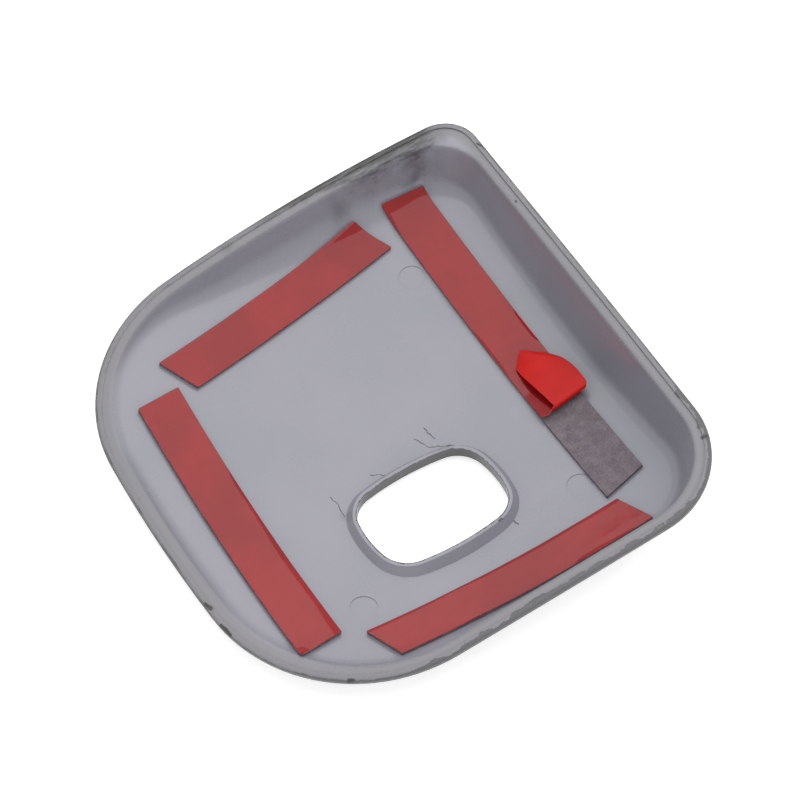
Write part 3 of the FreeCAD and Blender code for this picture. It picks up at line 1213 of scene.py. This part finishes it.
@dataclass
class Studio:
    """Pale floor, soft light and the camera."""

    target: Vector = Vector((10.97, 9.24, 2.0)) * MM
    azimuth: float = math.radians(-32)
    elevation: float = math.radians(56.5)
    distance: float = 758.4 * MM
    lens_mm: float = 136.9
    floor_half: float = 3.0
    floor_gap: float = 0.05 * MM
    ambient: float = 1.0
    lamps: tuple[SoftLight, ...] = (
        SoftLight("soft_lamp", (0.27, 0.15, 0.95), 1.2, 5.6),
    )

    def build(self, lowest: float) -> None:
        """Set up the floor, light and camera.

        Args:
            lowest: Height of the cover's lowest point.
        """
        self.floor(lowest)
        for lamp in self.lamps:
            lamp.build(self.target)
        self.world()
        self.camera()
        bpy.context.scene.view_settings.view_transform = "Standard"

    def floor(self, lowest: float) -> None:
        """Lay the floor under the cover."""
        half, level = self.floor_half, lowest - self.floor_gap
        corners = [(-half, -half, level), (half, -half, level), (half, half, level), (-half, half, level)]
        mesh = bpy.data.meshes.new("floor")
        mesh.from_pydata(corners, [], [(0, 1, 2, 3)])
        mesh.materials.append(FloorFinish().build())
        floor = linked("floor", mesh)
        floor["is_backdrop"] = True

    def world(self) -> None:
        """Light the room evenly, and show white beyond the floor."""
        world = bpy.data.worlds.new("room")
        world.use_nodes = True
        tree = world.node_tree
        tree.nodes.clear()
        path = tree.nodes.new("ShaderNodeLightPath")
        seen = tree.nodes.new("ShaderNodeMapRange")
        seen.inputs["To Min"].default_value = self.ambient
        glow = tree.nodes.new("ShaderNodeBackground")
        out = tree.nodes.new("ShaderNodeOutputWorld")
        tree.links.new(path.outputs["Is Camera Ray"], seen.inputs["Value"])
        tree.links.new(seen.outputs["Result"], glow.inputs["Strength"])
        tree.links.new(glow.outputs[0], out.inputs["Surface"])
        bpy.context.scene.world = world

    def camera(self) -> None:
        """Place the camera at the photograph's angle."""
        a, e = self.azimuth, self.elevation
        back = Vector((math.sin(a) * math.cos(e), -math.cos(a) * math.cos(e), math.sin(e)))
        data = bpy.data.cameras.new("camera")
        data.lens = self.lens_mm
        data.sensor_width = 36.0
        data.clip_start, data.clip_end = 0.01, 20.0
        camera = linked("camera", data)
        camera.location = self.target + back * self.distance
        camera.rotation_mode = "QUATERNION"
        camera.rotation_quaternion = (-back).to_track_quat("-Z", "Y")
        bpy.context.scene.camera = camera


STRIP_PLANS: dict[Side, StripPlan] = {
    Side.LEFT: StripPlan(-43.0 * MM, -3.1 * MM, 40.45 * MM, 12 * MM, -91.4, -1.7 * MM),
    Side.TOP: StripPlan(-2.3 * MM, 46.65 * MM, 31.8 * MM, 11 * MM, 9.4, -3.4 * MM),
    Side.RIGHT: StripPlan(42.5 * MM, 6.8 * MM, 50.55 * MM, 12 * MM, -89.5, -2.2 * MM, 3.2 * MM),
    Side.BOTTOM: StripPlan(4.5 * MM, -51.95 * MM, 35.0 * MM, 10 * MM, -1.2, -3.8 * MM),
}

# Soft dark marks: the six along the top wall towards the deep side are soiling and painted shade of that wall;
# the last three, on the top lip and by the switch hole, are soiling.
SMUDGES_AND_SHADE: tuple[SoftDarkMark, ...] = tuple(
    SoftDarkMark(x * MM, y * MM, radius * MM, strength)
    for x, y, radius, strength in (
        (47.0, 60.0, 9.0, 0.62),
        (53.5, 60.5, 4.5, 0.6),
        (39.0, 62.0, 6.0, 0.4),
        (33.0, 61.0, 4.5, 0.45),
        (24.5, 58.5, 5.0, 0.35),
        (22.5, 55.0, 3.5, 0.3),
        (-7.0, 64.0, 3.0, 0.6),
        (11.0, -11.0, 3.5, 0.55),
        (-18.5, -13.5, 2.6, 0.5),
    )
)

SCRATCHES: tuple[Scratch, ...] = tuple(
    Scratch((x_1 * MM, y_1 * MM), (x_2 * MM, y_2 * MM), width * MM)
    for x_1, y_1, x_2, y_2, width in (
        (-18.6, -6.3, -18.3, -9.2, 0.16),
        (-18.3, -9.2, -18.9, -13.0, 0.2),
        (11.3, -1.0, 12.1, -5.3, 0.18),
        (7.9, -2.6, 9.2, -6.2, 0.18),
        (9.2, -6.2, 13.7, -9.0, 0.2),
        (-7.0, -5.7, -3.9, -7.6, 0.16),
        (13.3, -9.0, 14.6, -9.5, 0.55),
        (11.0, -35.7, 11.9, -35.6, 0.4),
        (14.8, -36.6, 15.2, -37.9, 0.3),
        (60.9, 51.8, 61.6, 49.5, 0.45),
        (59.2, 32.0, 59.3, 31.6, 0.35),
        (58.4, -50.9, 60.2, -51.6, 0.6),
        (-61.0, -19.6, -60.6, -21.2, 0.75),
        (-60.9, -26.4, -60.4, -29.8, 0.6),
        (-59.6, -34.2, -59.4, -34.8, 0.4),
        (-43.6, -55.8, -42.8, -56.4, 0.6),
    )
)


def main() -> None:
    logging.basicConfig(level=logging.INFO, format="%(name)s: %(message)s")
    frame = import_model()
    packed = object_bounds()
    form = CoverForm()
    finish = MouldedShellFinish(smudges_and_shade=SMUDGES_AND_SHADE, scratches=SCRATCHES)
    shell = CoverShell(form, finish).dress(frame["nodes"]["cover_shell"])
    LOG.info("dressed %s", shell.name)
    for piece in TapeSet(form, STRIP_PLANS).build(frame["nodes"]):
        LOG.info("built %s", piece.name)
    Studio().build(packed[0].z)
    bpy.context.view_layer.update()


if __name__ == "__main__":
    main()
